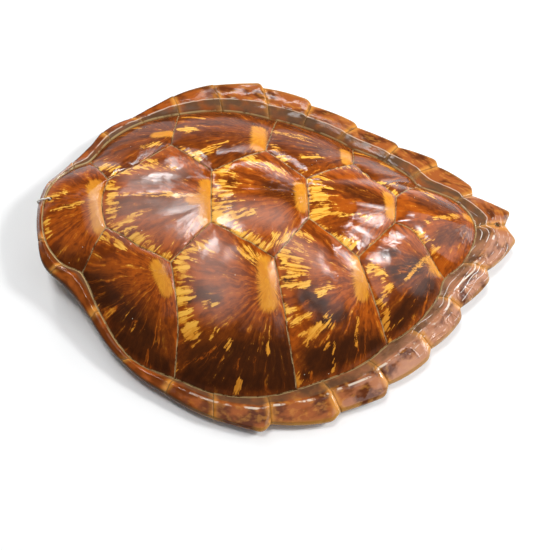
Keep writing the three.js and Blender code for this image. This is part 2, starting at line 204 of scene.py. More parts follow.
# Outer edge of each marginal, 1 to 12: start, middle and rear point. The rear ones overhang
# the start of the next like the teeth of a saw.
outer_edges = {
    "left": [
        ((-237, -33), (-233, -50), (-226, -62)), ((-223, -65), (-204, -82), (-189, -101)),
        ((-185, -106), (-172, -125), (-161, -138)), ((-157, -142), (-140, -157), (-123, -168)),
        ((-118, -171), (-98, -183), (-81, -191)), ((-76, -193), (-53, -200), (-33, -205)),
        ((-26, -198), (3, -199), (30, -196)), ((37, -188), (57, -182), (80, -174)),
        ((84, -163), (106, -153), (126, -139)), ((129, -129), (148, -116), (165, -98)),
        ((165, -87), (186, -72), (202, -56)), ((201, -45), (221, -31), (241, -9))],
    "right": [
        ((-236, 33), (-227, 45), (-219, 56)), ((-216, 60), (-204, 81), (-195, 102)),
        ((-192, 107), (-180, 123), (-168, 132)), ((-165, 135), (-145, 155), (-126, 172)),
        ((-122, 175), (-101, 189), (-81, 197)), ((-77, 198), (-47, 203), (-22, 205)),
        ((-19, 198), (8, 193), (34, 183)), ((37, 174), (63, 164), (86, 150)),
        ((88, 143), (110, 132), (129, 120)), ((131, 114), (153, 106), (172, 96)),
        ((172, 87), (190, 75), (206, 59)), ((204, 47), (222, 39), (243, 27))],
}
edge_front = (-241.4, 3)
edge_tail = (232, 9)
marginal_count = 12
tooth_place = 0.88
tooth_round, tooth_round_share = 4.0, 0.45
columns_per_marginal = 30


def polar(point):
    return math.atan2(point[1], point[0] - dome_centre)


knots = [gutter_front] + [p for side in gutter_nodes.values() for p in side.values()][:-1]
knot_angles, knot_radii = np.array(sorted((polar(p), math.dist((dome_centre, 0), p)) for p in knots)).T
knot_angles = np.concatenate((knot_angles[-2:] - 2 * math.pi, knot_angles, knot_angles[:2] + 2 * math.pi))
knot_radii = np.concatenate((knot_radii[-2:], knot_radii, knot_radii[:2]))
knot_slopes = np.gradient(knot_radii, knot_angles)
knot_slopes[1:-1] = (knot_radii[2:] - knot_radii[:-2]) / (knot_angles[2:] - knot_angles[:-2])


def gutter_radius(angle):
    """Distance from the dome's centre to the gutter at an angle, as a smooth closed curve."""
    i = np.clip(np.searchsorted(knot_angles, angle, side="right") - 1, 0, len(knot_angles) - 2)
    span = knot_angles[i + 1] - knot_angles[i]
    t = (angle - knot_angles[i]) / span
    t2, t3 = t * t, t * t * t
    return ((2 * t3 - 3 * t2 + 1) * knot_radii[i] + (t3 - 2 * t2 + t) * span * knot_slopes[i]
            + (3 * t2 - 2 * t3) * knot_radii[i + 1] + (t3 - t2) * span * knot_slopes[i + 1])


def round_the_rim(heights, angle):
    """A height that differs at the sides, the front and the tail of the rim."""
    forward = np.maximum(-np.cos(angle), 0) ** 3
    rearward = np.maximum(np.cos(angle), 0) ** 4
    return (heights["side"] + (heights["front"] - heights["side"]) * forward
            + (heights["tail"] - heights["side"]) * rearward)


def dome_reach(x, y):
    """0 at the dome's centre, 1 at the gutter."""
    return np.hypot(x - dome_centre, y) / gutter_radius(np.arctan2(y, x - dome_centre))


def dome_height(x, y):
    foot = round_the_rim(gutter_heights, np.arctan2(y, x - dome_centre))
    return ridge_height - (ridge_height - foot) * dome_reach(x, y) ** 2


def gutter_at(angles):
    """Points of the gutter, seen from above."""
    radii = gutter_radius(angles)
    return np.stack((dome_centre + radii * np.cos(angles), radii * np.sin(angles)), 1)


def gutter_points(start, end, steps):
    """Points along the gutter from one node to another."""
    return gutter_at(np.linspace(polar(start), polar(end), steps + 1))


def bend(start, handle, end, t):
    """A curve from start to end, drawn towards its handle."""
    return (1 - t) ** 2 * start + 2 * t * (1 - t) * handle + t ** 2 * end


def arc(start, middle, end, t):
    """A curve from start to end through its middle point."""
    return bend(start, 2 * middle - (start + end) / 2, end, t)


def lengths(vectors):
    return np.linalg.norm(vectors, axis=1)


def tooth_edge(start, middle, tooth, end, places):
    """The outer edge of a marginal: an even curve to its rear point, which is rounded, then the
    short step back to the next marginal. places run from 0 to 1 along the marginal."""
    start, middle, tooth, end = (np.array(p, float) for p in (start, middle, tooth, end))
    t = np.linspace(0, 1, 60)[:, None]
    front = arc(start, middle, tooth, t)
    back = np.linspace(tooth, end, 30)
    rounding = min(tooth_round, tooth_round_share * math.dist(tooth, end))
    front_far = front[lengths(front - tooth) > rounding]
    back_far = back[lengths(back - tooth) > rounding]
    turn = np.linspace(0, 1, 12)[1:-1, None]
    corner = bend(front_far[-1], tooth, back_far[0], turn)
    path = np.concatenate((front_far, corner, back_far))
    along = np.concatenate(([0], np.cumsum(lengths(np.diff(path, axis=0)))))
    tooth_along = along[len(front_far)] + rounding
    wanted = np.where(places < tooth_place, places / tooth_place * tooth_along,
                      tooth_along + (places - tooth_place) / (1 - tooth_place) * (along[-1] - tooth_along))
    return np.stack([np.interp(wanted, along, path[:, k]) for k in (0, 1)], 1)


def marginal_columns(side, number):
    """Inner and outer ends of the columns that make one marginal, head to tail."""
    nodes = gutter_nodes[side]
    places = np.linspace(0, 1, columns_per_marginal + 1)
    inner = gutter_points(nodes[f"m{number - 1}"], nodes[f"m{number}"], columns_per_marginal)
    end = edge_tail if number == marginal_count else outer_edges[side][number][0]
    outer = tooth_edge(*outer_edges[side][number - 1], end, places)
    return inner, outer


def nuchal_columns():
    """The columns of the plate over the neck, from the right to the left."""
    right, left = gutter_nodes["right"]["m0"], gutter_nodes["left"]["m0"]
    front_edge = (outer_edges["right"][0][0], edge_front, outer_edges["left"][0][0])
    t = np.linspace(0, 1, columns_per_marginal + 1)[:, None]
    outer = arc(*(np.array(p, float) for p in front_edge), t)
    angles = np.linspace(polar(right), polar(left) + 2 * math.pi, columns_per_marginal + 1)
    angles = np.where(angles > math.pi, angles - 2 * math.pi, angles)
    return gutter_at(angles), outer


def hump(distance, half_width):
    """1 on a line, falling off smoothly with the distance from it."""
    return np.exp(-(distance / half_width) ** 2)


def rim_profile(inner, outer):
    """The rim's heights on a set of columns, as functions of t from the gutter to the edge."""
    width = lengths(outer - inner)
    angle = np.arctan2(inner[:, 1], inner[:, 0] - dome_centre)
    gutter = round_the_rim(gutter_heights, angle)
    edge = round_the_rim(edge_heights, angle)
    crest = np.minimum(round_the_rim(crest_heights, angle), crest_slope * width)
    on_left = inner[:, 1] < 0
    lip_height = np.where(on_left, crest_lip["left"], crest_lip["right"])
    peak = np.where(on_left, crest_place, far_crest_place)
    power = math.log(0.5) / np.log(peak)
    foot = np.maximum(0, gutter - shell_depth["rim"])

    def top(t):
        slack = np.where(t < peak, peak, 1 - peak)
        fold = 1 - np.hypot((t - peak) / slack, crest_fillet) + crest_fillet * 0.6
        swell = (1 - crest_fold) * np.sin(math.pi * t ** power) + crest_fold * np.clip(fold, 0, None)
        lip = lip_height * hump((t - peak) * width, crest_lip_width)
        return gutter + (edge - gutter) * t + crest * swell + lip

    def bottom(t):
        past_lip = np.maximum(0, (t - lip_end) / (1 - lip_end))
        return foot + (edge - edge_depth - foot) * past_lip

    return width, peak, top, bottom


def rim_row(inner, outer, t, z):
    """One row of vertices at share t of the way from the gutter to the edge."""
    t = np.broadcast_to(t, (len(inner),))[:, None]
    plan = inner + (outer - inner) * t
    return np.concatenate((plan, np.broadcast_to(z, (len(inner),))[:, None]), 1)


def mesh_object(name, vertices, faces, material):
    """A mesh in the shell's own place, from vertices in millimetres."""
    mesh = bpy.data.meshes.new(name)
    mesh.from_pydata((np.asarray(vertices) * mm).tolist(), [], faces)
    mesh.materials.append(material)
    shaped = bmesh.new()
    shaped.from_mesh(mesh)
    bmesh.ops.recalc_face_normals(shaped, faces=shaped.faces)
    shaped.to_mesh(mesh)
    shaped.free()
    mesh.shade_smooth()
    return add_object(name, mesh)


def grid_faces(rows, columns, closed=False):
    """Quads between rows of vertices that are numbered row by row."""
    faces = []
    for row in range(rows - 1):
        for column in range(columns if closed else columns - 1):
            here, beside = row * columns + column, row * columns + (column + 1) % columns
            faces.append((here, beside, beside + columns, here + columns))
    return faces


def capped_faces(rows, around):
    """Closed rings of vertices, each end drawn together in one of the last two vertices."""
    faces = grid_faces(rows, around, closed=True)
    top_pole, last_row = rows * around, (rows - 1) * around
    for column in range(around):
        beside = (column + 1) % around
        faces += [(top_pole, beside, column), (top_pole + 1, last_row + column, last_row + beside)]
    return faces


def wavy(points, scale, seed):
    """Smooth noise between about -1 and 1 at each point of a plan, in millimetres."""
    return np.array([noise.noise(Vector((x / scale, y / scale, seed))) for x, y in points])


def maths(kind, operation, values, settings=None):
    """A node of one operation, in the tree that its values come from."""
    tree = next(value.id_data for value in values if isinstance(value, bpy.types.NodeSocket))
    made = new_node(tree, kind, {"operation": operation, **(settings or {})})
    for socket, value in zip(made.inputs, values):
        fill(socket, value)
    return made


def calculate(operation, *values, clamp=False):
    return maths("ShaderNodeMath", operation, values, {"use_clamp": clamp}).outputs[0]


def vector_maths(operation, *values):
    return maths("ShaderNodeVectorMath", operation, values).outputs["Vector"]


def times(first, second):
    return calculate("MULTIPLY", first, second)


def weighted_sum(*shares):
    """The sum of some values, each times its own weight."""
    total = 0.0
    for value, weight in shares:
        total = calculate("MULTIPLY_ADD", value, weight, total)
    return total


def ramp(value, low, high):
    """0 below low, 1 above high, smooth between."""
    return new_node(value.id_data, "ShaderNodeMapRange", {"interpolation_type": "SMOOTHSTEP"},
                    Value=value, From_Min=low, From_Max=high).outputs[0]


def blend_colours(factor, first, second):
    made = new_node(factor.id_data, "ShaderNodeMix", {"data_type": "RGBA"})
    for place, value in ((0, factor), (6, first), (7, second)):
        fill(made.inputs[place], value)
    return made.outputs[2]


def coat_over(colour, *layers):
    """Colours laid one over another. Each layer says where it lies, how strongly, and its colour."""
    for where, strength, layer in layers:
        colour = blend_colours(times(where, strength), colour, layer)
    return colour


def cloud(place, scale, detail=2.0, roughness=0.5, distortion=0.0):
    """Soft noise, scale blots to the metre."""
    return new_node(place.id_data, "ShaderNodeTexNoise", Vector=place, Scale=scale, Detail=detail,
                    Roughness=roughness, Distortion=distortion).outputs["Fac"]


def bumps(height, strength, distance):
    return new_node(height.id_data, "ShaderNodeBump", Height=height, Strength=strength,
                    Distance=distance).outputs["Normal"]


def object_place(tree):
    return new_node(tree, "ShaderNodeTexCoord").outputs["Object"]


def growth_place(tree):
    """Where a point lies from its plate's growth centre, from the plate's own UV map."""
    return new_node(tree, "ShaderNodeUVMap", {"uv_map": "growth"}).outputs["UV"]


def attribute(tree, name):
    return new_node(tree, "ShaderNodeAttribute", {"attribute_name": name}).outputs["Fac"]


def store(mesh, name, values):
    """A value at every vertex, which materials read by its name."""
    layer = mesh.attributes.new(name, "FLOAT", "POINT")
    layer.data.foreach_set("value", np.asarray(values, np.float32))


bone_colour = (0.55, 0.44, 0.28, 1)
bone_shade = (0.30, 0.20, 0.10, 1)
bone_suture = (0.16, 0.09, 0.04, 1)
bone_material, tree, surface = new_material("dry_bone")
place = object_place(tree)
pores = cloud(place, 420.0, 3.0)
stain = ramp(cloud(place, 14.0, 5.0), 0.40, 0.75)
stained = coat_over(bone_colour, (stain, 0.7, bone_shade), (ramp(pores, 0.58, 0.72), 1.0, bone_shade),
                    (attribute(tree, "suture"), 1.0, bone_suture))
fill_all(surface, Base_Color=stained, Roughness=0.6, Normal=bumps(pores, 0.5, 0.0006))

rib_count, rib_lean = 8, 0.0011
rib_height, rib_half_width = 3.0, 6.5
rib_first_x, rib_step = -168.0, 38.0
vertebra_swell = 0.14
suture_depth, suture_half_width = 0.8, 1.2
suture_waves = ((0.9, 0.55), (0.45, 1.3))
suture_fade, relief_fade = 6.0, 0.12
bone_grain, bone_grain_length = 0.25, 9.0
bone_rings = 84
top_rings = 8
bone_rim_rows = (0.1, 0.2, far_crest_place, crest_place, 0.55, 0.68, 0.8)
hollow_start = 0.22
drop = scute_thickness + seam_gap


def rib_distance(x, y):
    """Distance along the backbone to the nearest rib and to the nearest suture. As they run out,
    ribs bend towards the nearer end of the shell."""
    towards_end = np.where(x >= dome_centre, 1, -1)
    share = (x - rib_first_x - rib_lean * y ** 2 * towards_end) / rib_step
    nearest = np.round(share)
    rib = np.abs(share - nearest) * rib_step
    seam = np.abs(share - np.floor(share) - 0.5) * rib_step
    inside = (nearest >= 0) & (nearest < rib_count)
    return np.where(inside, rib, rib_step), np.where(inside, seam, rib_step)


def bone_underside(x, y):
    """Height of the underside and how much of a suture lies there."""
    reach = dome_reach(x, y)
    depth = shell_depth["crown"] + (shell_depth["rim"] - shell_depth["crown"]) * reach ** 4
    from_spine = np.abs(y - keel_y)
    vertebra = 1 + vertebra_swell * np.cos((x - rib_first_x) / rib_step * 2 * math.pi)
    spine = spine_depth * hump(from_spine, spine_half_width) * vertebra
    rib, seam = rib_distance(x, y)
    fade = np.clip((1 - reach) / relief_fade, 0, 1)
    rib_relief = rib_height * hump(rib, rib_half_width) * fade
    jag = sum(size * np.sin(y * rate) for size, rate in suture_waves)
    suture_line = hump(seam + jag, suture_half_width) * fade
    suture_line = suture_line * np.clip((from_spine - spine_half_width) / suture_fade, 0, 1)
    height = (dome_height(x, y) - depth - spine * np.maximum(0, 1 - reach ** 4) - rib_relief
              + suture_depth * suture_line)
    return np.maximum(0, height), suture_line


runs = [nuchal_columns()]
runs += [marginal_columns("left", number) for number in range(1, marginal_count + 1)]
runs += [[columns[::-1] for columns in marginal_columns("right", number)]
         for number in range(marginal_count, 0, -1)]
rim_inner, rim_outer = (np.concatenate([run[k][:-1] for run in runs]) for k in (0, 1))
around = len(rim_inner)
centre = np.array([dome_centre, 0.0])
width, peak, top, bottom = rim_profile(rim_inner, rim_outer)
nose = 1 - np.minimum(bone_nose, nose_share * width) / width
gap = seam_gap / width
rows = []
for share in np.linspace(0, 1, top_rings + 1)[1:]:
    plan = centre + (rim_inner - centre) * share
    rows.append(np.column_stack((plan, dome_height(*plan.T) - drop)))
for t in bone_rim_rows:
    t = np.minimum(t, nose - gap)
    rows.append(rim_row(rim_inner, rim_outer, t, top(t) - drop))
for t, z in ((nose - gap, top(nose) - drop), (nose - gap, bottom(nose) + drop),
             (lip_end - gap, bottom(lip_end) + drop), (lip_end - gap, bottom(lip_end)),
             (hollow_start, bottom(0.0))):
    rows.append(rim_row(rim_inner, rim_outer, t, z))
sutures = [np.zeros(around)] * len(rows)
for share in np.linspace(1, 0, bone_rings + 1)[:-1]:
    plan = centre + (rim_inner - centre) * share
    height, line = bone_underside(*plan.T)
    if share < 1:
        height = np.maximum(0, height + bone_grain * wavy(plan, bone_grain_length, 4.0))
    rows.append(np.column_stack((plan, height)))
    sutures.append(line)
under_pole = bone_underside(*centre[:, None])[0][0]
poles = [(dome_centre, 0.0, ridge_height - drop), (dome_centre, 0.0, under_pole)]
bone = mesh_object("bony_carapace_grown", np.concatenate(rows + [poles]), capped_faces(len(rows), around),
                   bone_material)
store(bone.data, "suture", np.concatenate(sutures + [np.zeros(2)]))


def drill(piece, hole):
    """Cuts a round hole straight down through a piece."""
    cutter_mesh = bpy.data.meshes.new("drill")
    shape = bmesh.new()
    bmesh.ops.create_cone(shape, cap_ends=True, segments=24, radius1=hole["radius"] * mm,
                          radius2=hole["radius"] * mm, depth=0.2,
                          matrix=Matrix.Translation((hole["x"] * mm, hole["y"] * mm, 0)))
    shape.to_mesh(cutter_mesh)
    shape.free()
    cutter = add_object("drill", cutter_mesh)
    cut = piece.modifiers.new("hole", "BOOLEAN")
    cut.operation = "DIFFERENCE"
    cut.solver = "EXACT"
    cut.object = cutter
    evaluated = piece.evaluated_get(bpy.context.evaluated_depsgraph_get())
    result = bpy.data.meshes.new_from_object(evaluated)
    piece.modifiers.remove(cut)
    old = piece.data
    piece.data = result
    result.name = piece.name
    bpy.data.meshes.remove(old)
    bpy.data.objects.remove(cutter)
    bpy.data.meshes.remove(cutter_mesh)


drill(bone, string_hole)
drill(bone, tail_hole)
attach(bone, "root")
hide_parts("bony_carapace")

# ---- The dome's scutes ----
# Thirteen plates of horn about two millimetres thick, five over the backbone and four on each
# side, laid on the bone edge to edge under one coat of lacquer. Each grew outwards from a plain
# amber patch near the middle of its rear edge, and its dark and golden rays run out from there.
scute_relief = {"vertebral": 1.6, "costal": 2.2}
keel_relief, keel_half_width = 1.2, 18.0
ridge_relief, ridge_half_width = 0.8, 3.5
edge_round, edge_round_width = 0.5, 0.7
seam_samples = 2.2
corners = {
    "left": {"v12": (-174, -30), "v2": (-115, -66), "v23": (-80, -32), "v3": (-24, -64),
             "v34": (9, -25), "v4": (56, -56), "v45": (96, -17)},
    "right": {"v12": (-176, 22), "v2": (-119, 67), "v23": (-80, 24), "v3": (-27, 56),
              "v34": (10, 20), "v4": (65, 58), "v45": (102, 14)},
}
bows = {("left", "m4"): ((4.0, 0.0), 0.5), ("left", "c4v5"): ((4.7, 6.5), 0.7),
        ("front", "v12"): ((-4.0, 0.0), 0.5)}
seam_wander, seam_wander_length = 0.9, 17.0
patch_swell, patch_swell_width = 1.1, 16.0
relief_margin, far_off = 3.0, 9.0
scute_waves = ((0.35, 26.0, 0.0), (0.14, 9.0, 50.0))


def seam(start, end, bow=None):
    """A seam between two corners, bowed to one side where the shell's own is, and never quite
    straight. Both scutes that meet there use the same points."""
    steps = max(6, round(math.dist(start, end) / seam_samples))
    t = np.linspace(0, 1, steps + 1)
    points = np.outer(1 - t, start) + np.outer(t, end)
    if bow:
        shift, peak = bow
        points = points + np.outer(np.sin(math.pi * t ** (math.log(0.5) / math.log(peak))), shift)
    along = np.array(end, float) - np.array(start, float)
    beside = np.array([-along[1], along[0]]) / np.linalg.norm(along)
    wander = wavy(points, seam_wander_length, 7.0) * seam_wander * np.sin(math.pi * t)
    return points + np.outer(wander, beside)


def rising(side, node, corner):
    return seam(gutter_nodes[side][node], corners[side][corner], bows.get((side, node)))


def level(side, start, end):
    """The seam between two of the vertebrals' corners, always made from head to tail."""
    return seam(corners[side][start], corners[side][end])


def crossing(corner):
    """The seam across the back that ends at a corner of the same name on each side."""
    return seam(corners["left"][corner], corners["right"][corner], bows.get(("front", corner)))


def gutter_run(side, start, end):
    a, b = gutter_nodes[side][start], gutter_nodes[side][end]
    return gutter_points(a, b, round(math.dist(a, b) / seam_samples))


def joined(*runs):
    """Runs that end where the next begins, as one closed outline, counter-clockwise."""
    outline = np.concatenate([run[:-1] for run in runs])
    x, y = outline.T
    area = np.sum(x * np.roll(y, -1) - y * np.roll(x, -1))
    return outline if area > 0 else outline[::-1]


outlines = {
    "vertebral_scute_1": joined(
        gutter_run("left", "m0", "v1c1"), rising("left", "v1c1", "v12"), crossing("v12"),
        rising("right", "v1c1", "v12")[::-1], gutter_run("right", "m0", "v1c1")[::-1], nuchal_columns()[0]),
    "vertebral_scute_5": joined(
        rising("left", "c4v5", "v45")[::-1], gutter_run("left", "c4v5", "m12"),
        gutter_run("right", "c4v5", "m12")[::-1], rising("right", "c4v5", "v45"),
        crossing("v45")[::-1]),
}
for number in (2, 3, 4):
    front, rear, widest = f"v{number - 1}{number}", f"v{number}{number + 1}", f"v{number}"
    outlines[f"vertebral_scute_{number}"] = joined(
        level("left", front, widest), level("left", widest, rear), crossing(rear),
        level("right", widest, rear)[::-1], level("right", front, widest)[::-1],
        crossing(front)[::-1])
costal_plans = [("v1c1", "v12", "m4", "v2", ["v12"]), ("m4", "v2", "c2c3", "v3", ["v2", "v23"]),
                ("c2c3", "v3", "c3c4", "v4", ["v3", "v34"]), ("c3c4", "v4", "c4v5", "v45", ["v4"])]
for side in ("left", "right"):
    for number, (front_node, front, rear_node, rear, upper) in enumerate(costal_plans, 1):
        top_runs = [level(side, a, b)[::-1] for a, b in reversed(list(zip(upper, upper[1:] + [rear])))]
        outlines[f"costal_scute_{side}_{number}"] = joined(
            gutter_run(side, front_node, rear_node), rising(side, rear_node, rear), *top_runs,
            rising(side, front_node, front)[::-1])

# How each scute's horn grew: the growth centre that its rays start from, then its markings, the
# plain amber growth patch, the golden combs and the darkest parts. A marking is a stroke,
# written as x and y of its two ends and half its width.
growth = {
    "vertebral_scute_1": {
        "centre": (-176, -6), "patch": [(-188, 16, -179, -29, 8)],
        "gold": [(-234, 10, -217, 10, 4), (-226, -8, -196, -4, 2), (-230, -16, -226, -32, 2.5)],
        "dark": [(-215, -50, -197, -59, 9), (-223, 40, -203, 48, 6)]},
    "vertebral_scute_2": {
        "centre": (-80, -10), "patch": [(-85, 7, -85, -30, 7), (-98, -10, -85, -11, 6)],
        "gold": [(-172, 16, -168, -34, 5), (-174, 33, -138, 40, 7), (-154, -39, -118, -63, 6),
                 (-171, 0, -87, -9, 2), (-163, -29, -144, -22, 2.5), (-138, 42, -117, 28, 4)],
        "dark": [(-162, -10, -104, -18, 8), (-146, 14, -109, 16, 8)]},
    "vertebral_scute_3": {
        "centre": (8, -3), "patch": [(2, 7, 3, -14, 7)],
        "gold": [(-73, 32, -74, -30, 11.5), (-66, 39, -41, 45, 5), (-69, -38, -35, -54, 5),
                 (-35, -55, -7, -43, 4), (-43, 39, -10, 24, 3.5), (-59, -27, -44, -24, 4)],
        "dark": [(-69, 8, -62, 7, 4.5), (-71, -16, -62, -17, 4), (-26, 2, -6, -3, 10)]},
    "vertebral_scute_4": {
        "centre": (97, 0), "patch": [(92, 11, 92, -10, 6.5)],
        "gold": [(21, 20, 17, -19, 10.5), (21, -35, 51, -47, 5), (25, -19, 68, -17, 2),
                 (28, 39, 55, 52, 4), (54, 51, 82, 41, 3)],
        "dark": [(52, 10, 80, 1, 9), (24, 8, 34, 9, 3)]},
    "vertebral_scute_5": {
        "centre": (190, 8), "patch": [(184, 11, 194, 9, 5)],
        "gold": [(112, -19, 139, -35, 4.5), (134, 48, 145, 29, 5), (132, -9, 172, 8, 2.5)],
        "dark": [(130, 13, 168, 17, 9), (148, -22, 177, -11, 9)]},
    "costal_scute_left_1": {
        "centre": (-119, -76), "patch": [(-128, -68, -118, -90, 6.2)],
        "gold": [(-177, -39, -161, -46, 5), (-182, -33, -172, -39, 4)],
        "dark": [(-185, -76, -132, -129, 16), (-192, -68, -185, -80, 6), (-162, -120, -120, -147, 10)]},
    "costal_scute_left_2": {
        "centre": (-26, -88), "patch": [(-32, -72, -29, -101, 9.5)],
        "gold": [(-106, -66, -104, -110, 7.5), (-102, -58, -88, -54, 5), (-102, -117, -95, -125, 5),
                 (-80, -130, -74, -123, 1.5), (-65, -137, -61, -132, 1.8), (-112, -129, -109, -149, 3),
                 (-51, -60, -40, -67, 5), (-31, -135, -28, -140, 2), (-57, -170, -53, -161, 2),
                 (-85, -102, -78, -103, 3)],
        "dark": [(-88, -146, -11, -145, 24), (-96, -156, -8, -160, 16), (-89, -94, -76, -98, 6),
                 (-104, -97, -98, -99, 3)]},
    "costal_scute_left_3": {
        "centre": (62, -76), "patch": [(55, -61, 59, -86, 8.5)],
        "gold": [(-2, -44, 6, -48, 6), (-16, -60, 0, -76, 8), (-15, -84, 4, -86, 4),
                 (-14, -100, -11, -107, 3.5), (18, -92, 26, -86, 3.5), (5, -127, 24, -113, 5),
                 (-8, -115, 6, -110, 4), (25, -135, 28, -126, 1.8), (54, -129, 55, -107, 1.2),
                 (-13, -146, -2, -161, 4), (33, -150, 33, -130, 1.5)],
        "dark": [(12, -143, 61, -127, 13), (8, -154, 78, -124, 8), (-15, -67, -15, -68, 3.5),
                 (-13, -82, -12, -84, 4), (5, -95, 20, -102, 9), (19, -117, 40, -107, 7)]},
    "costal_scute_left_4": {
        "centre": (136, -50), "patch": [(137, -47, 144, -54, 5)],
        "gold": [(69, -64, 79, -68, 5), (89, -78, 77, -92, 3), (82, -95, 90, -121, 4),
                 (106, -68, 129, -45, 2), (132, -45, 137, -54, 4)],
        "dark": [(97, -104, 131, -69, 12), (94, -66, 120, -54, 10), (74, -67, 74, -68, 1.5),
                 (82, -50, 93, -47, 5)]},
    "costal_scute_right_1": {
        "centre": (-116, 88), "patch": [(-134, 87, -120, 87, 7)],
        "gold": [(-188, 44, -168, 32, 6), (-171, 129, -153, 108, 3), (-145, 68, -132, 70, 3)],
        "dark": [(-182, 80, -146, 87, 8), (-176, 98, -128, 128, 11)]},
    "costal_scute_right_2": {
        "centre": (-26, 80), "patch": [(-31, 97, -34, 60, 9)],
        "gold": [(-109, 96, -99, 93, 6), (-106, 54, -95, 43, 6), (-95, 46, -64, 64, 3),
                 (-108, 135, -87, 123, 2.5), (-85, 47, -74, 56, 3), (-108, 42, -100, 35, 3)],
        "dark": [(-100, 140, -18, 140, 16), (-80, 108, -40, 112, 12), (-81, 82, -46, 77, 7),
                 (-91, 107, -60, 108, 6)]},
    "costal_scute_right_3": {
        "centre": (66, 75), "patch": [(62, 85, 57, 59, 7)],
        "gold": [(-11, 95, 19, 92, 4), (-17, 63, -10, 43, 5), (9, 51, 26, 57, 3)],
        "dark": [(-14, 77, -12, 76, 3.5), (9, 70, 43, 78, 7)]},
    "costal_scute_right_4": {
        "centre": (140, 70), "patch": [(138, 77, 139, 66, 4)],
        "gold": [(78, 93, 91, 89, 3), (104, 75, 114, 71, 4), (88, 32, 109, 37, 3),
                 (93, 20, 105, 18, 3.5)],
        "dark": [(89, 69, 122, 61, 7)]},
}

# Places where the lacquer dried in wrinkles
wrinkled_lacquer = [
    (-142, 65, -108, 44, 7), (-30, -59, -12, -36, 8), (-108, -48, -86, -50, 6), (44, -40, 72, -24, 8),
    (86, -46, 104, -26, 8), (185, -5, 225, -12, 14), (168, -67, 200, -30, 12), (118, -116, 164, -74, 11)]

# Where a pale painted sheen stands in for the lamps' soft reflection on the lacquer
painted_sheen_strokes = [
    (-150, -16, -112, -24, 17), (-84, -60, -74, -92, 14), (-62, -24, -22, -27, 9),
    (-150, 20, -116, 24, 10), (-10, -50, 14, -64, 8), (-187, -4, -181, -26, 6), (-79, -50, -70, -66, 7)]

# Horn: dark brown with orange light in it, golden where a comb and the rays agree
gold_colour = (0.93, 0.50, 0.075, 1)
deep_gold_colour = (0.70, 0.29, 0.025, 1)
amber_colour = (0.62, 0.22, 0.020, 1)
russet_colour = (0.42, 0.086, 0.007, 1)
brown_colour = (0.175, 0.034, 0.005, 1)
black_colour = (0.030, 0.010, 0.004, 1)
seam_colour = (0.56, 0.42, 0.20, 1)
seam_shade = (0.09, 0.045, 0.018, 1)
painted_sheen_colour = (0.62, 0.42, 0.36, 1)
dust_colour = (0.75, 0.66, 0.50, 1)
plate_step = 7.31


def growth_rays(tree, angular, radial, detail, seed, ragged):
    """Noise drawn out into rays that leave the growth centre."""
    offset = growth_place(tree)
    waver = new_node(tree, "ShaderNodeTexNoise", Vector=offset, Scale=9.0).outputs["Color"]
    waver = vector_maths("SUBTRACT", waver, (0.5, 0.5, 0.5))
    offset = vector_maths("MULTIPLY_ADD", waver, (ragged, ragged, ragged), offset)
    length = maths("ShaderNodeVectorMath", "LENGTH", [offset]).outputs["Value"]
    depth = weighted_sum((length, radial), (attribute(tree, "plate"), plate_step))
    shift = new_node(tree, "ShaderNodeCombineXYZ", X=seed, Z=depth).outputs["Vector"]
    direction = vector_maths("NORMALIZE", offset)
    where = vector_maths("MULTIPLY_ADD", direction, (angular, angular, angular), shift)
    return cloud(where, 1.0, detail, 0.62)


def dust_specks(tree):
    """A few pale specks of dust caught in the lacquer."""
    grains = new_node(tree, "ShaderNodeTexVoronoi", Vector=object_place(tree), Scale=170.0)
    chosen = new_node(tree, "ShaderNodeSeparateColor", Color=grains.outputs["Color"]).outputs["Red"]
    near = ramp(grains.outputs["Distance"], 0.085, 0.05)
    return times(near, calculate("GREATER_THAN", chosen, 0.93))


def lacquer(tree, surface, wrinkle_height, fold_height):
    """A hard glossy coat, broken by the fine wrinkles and dimples of brushed lacquer, and worn
    thin along the right side."""
    place, wrinkled = object_place(tree), attribute(tree, "wrinkled")
    ripple = cloud(place, 70.0, 2.0, 0.5, 0.4)
    crinkle = cloud(place, 560.0, 3.0, 0.6, 1.5)
    zone = calculate("MULTIPLY_ADD", wrinkled, 0.6, ramp(cloud(place, 24.0, 1.0), 0.45, 0.62))
    crinkle = times(crinkle, calculate("MULTIPLY_ADD", zone, 0.26, 0.05))
    folds = calculate("SUBTRACT", cloud(place, 38.0, 2.0, 0.5, 1.0), 0.5)
    folds = times(ramp(calculate("ABSOLUTE", folds), 0.05, 0.0), wrinkled)
    height = weighted_sum((ripple, 0.28), (crinkle, 0.5), (folds, fold_height),
                          (wrinkle_height, 0.22))
    normal = bumps(height, 0.55, 0.0010)
    right_side = ramp(axes(place)["Y"], 0.045, 0.085)
    fill_all(surface, Normal=normal, Coat_Normal=normal, Roughness=0.5, Specular_IOR_Level=0.0,
             Coat_Weight=calculate("MULTIPLY_ADD", right_side, -0.65, 1.0), Coat_Roughness=0.06,
             Coat_IOR=1.38)


